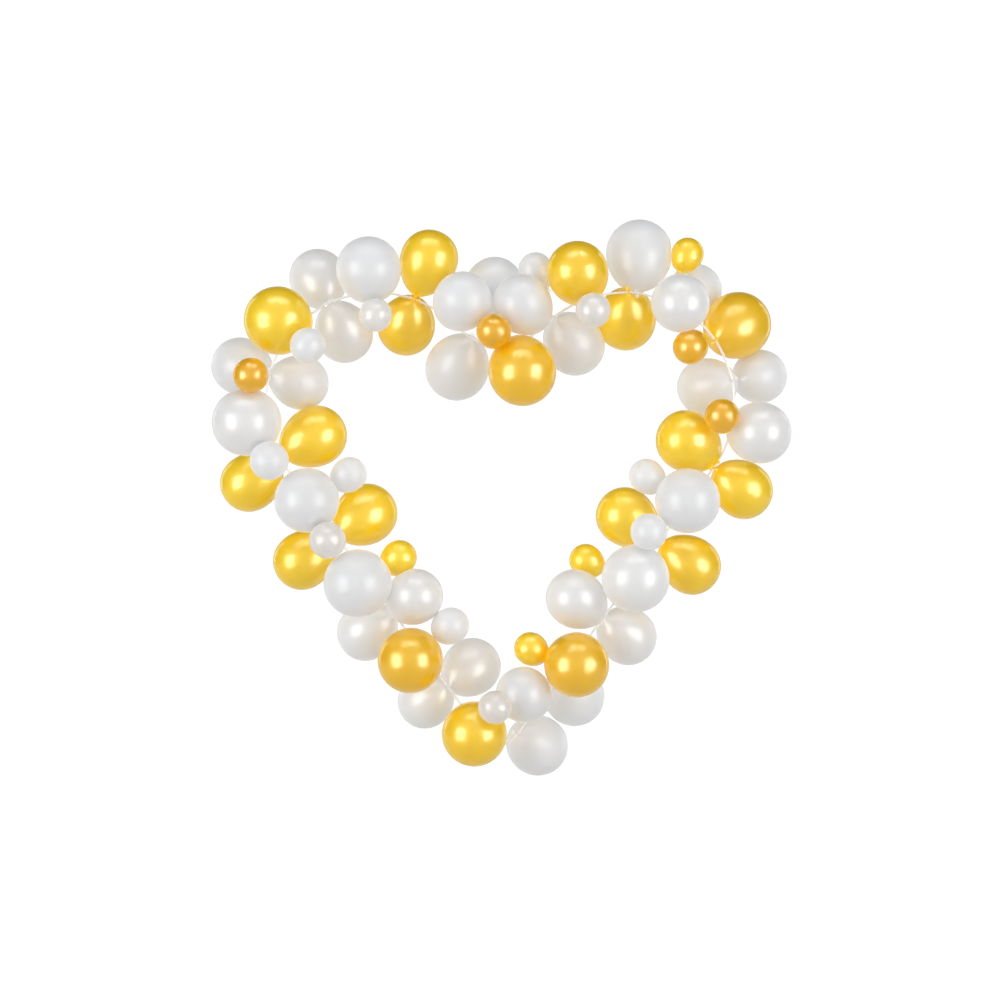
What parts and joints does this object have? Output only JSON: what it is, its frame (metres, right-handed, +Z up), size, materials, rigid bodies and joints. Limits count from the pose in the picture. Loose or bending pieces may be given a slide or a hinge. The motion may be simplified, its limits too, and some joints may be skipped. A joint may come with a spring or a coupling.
{
  "type": "balloon garland",
  "caption": "Heart-shaped garland of gold, white and pearl balloons tied by their necks round a slim hoop, open in the middle, to hang on a wall or an arch.",
  "frame": {"origin": "on the hoop's axis, at the bottom of the notch between the two lobes, where the garland hangs", "axes": "+X to the right of someone facing the garland, +Z up, the front faces -Y"},
  "size_m": [1.9266, 0.609, 1.8554],
  "materials": {
    "gold_latex": "metallic gold latex, stretched and glossy, darker at the neck and the crown",
    "white_latex": "soft satin white latex",
    "pearl_latex": "pearl white latex with a warm sheen",
    "hoop_coating": "smooth white plastic coating"
  },
  "bodies": {
    "root": {"gold_balloon_left_06": "gold_latex", "gold_balloon_left_09": "gold_latex", "gold_balloon_left_10": "gold_latex", "gold_balloon_left_15": "gold_latex", "gold_balloon_left_17": "gold_latex", "gold_balloon_right_01": "gold_latex", "gold_balloon_right_04": "gold_latex", "gold_balloon_right_05": "gold_latex", "gold_balloon_right_08": "gold_latex", "gold_balloon_right_11": "gold_latex", "gold_balloon_right_12": "gold_latex", "gold_balloon_right_17": "gold_latex", "gold_pair_left_03": "gold_latex", "gold_pair_left_12": "gold_latex", "gold_pair_right_14": "gold_latex", "gold_small_filler_left_01": "gold_latex", "gold_small_filler_left_05": "gold_latex", "gold_small_filler_left_09": "gold_latex", "gold_small_filler_right_03": "gold_latex", "gold_small_filler_right_05": "gold_latex", "gold_small_filler_right_07": "gold_latex", "gold_small_filler_right_10": "gold_latex", "gold_small_filler_right_11": "gold_latex", "heart_hoop": "hoop_coating", "pearl_balloon_left_08": "pearl_latex", "pearl_balloon_right_07": "pearl_latex", "pearl_balloon_right_10": "pearl_latex", "pearl_balloon_right_15": "pearl_latex", "pearl_pair_left_05": "pearl_latex", "pearl_pair_left_14": "pearl_latex", "pearl_pair_left_16": "pearl_latex", "pearl_pair_right_16": "pearl_latex", "pearl_small_filler_left_03": "pearl_latex", "pearl_small_filler_left_08": "pearl_latex", "pearl_small_filler_left_11": "pearl_latex", "pearl_small_filler_right_02": "pearl_latex", "white_balloon_left_01": "white_latex", "white_balloon_left_02": "white_latex", "white_balloon_left_04": "white_latex", "white_balloon_left_11": "white_latex", "white_balloon_left_13": "white_latex", "white_balloon_right_02": "white_latex", "white_balloon_right_03": "white_latex", "white_balloon_right_06": "white_latex", "white_balloon_right_09": "white_latex", "white_balloon_right_13": "white_latex", "white_balloon_right_18": "white_latex", "white_balloon_right_19": "white_latex", "white_balloon_right_20": "white_latex", "white_large_filler_left_02": "white_latex", "white_large_filler_right_04": "white_latex", "white_large_filler_right_06": "white_latex", "white_pair_left_07": "white_latex", "white_small_filler_left_04": "white_latex", "white_small_filler_left_06": "white_latex", "white_small_filler_left_07": "white_latex", "white_small_filler_left_10": "white_latex", "white_small_filler_right_01": "white_latex", "white_small_filler_right_08": "white_latex", "white_small_filler_right_09": "white_latex"}
  },
  "joints": []
}
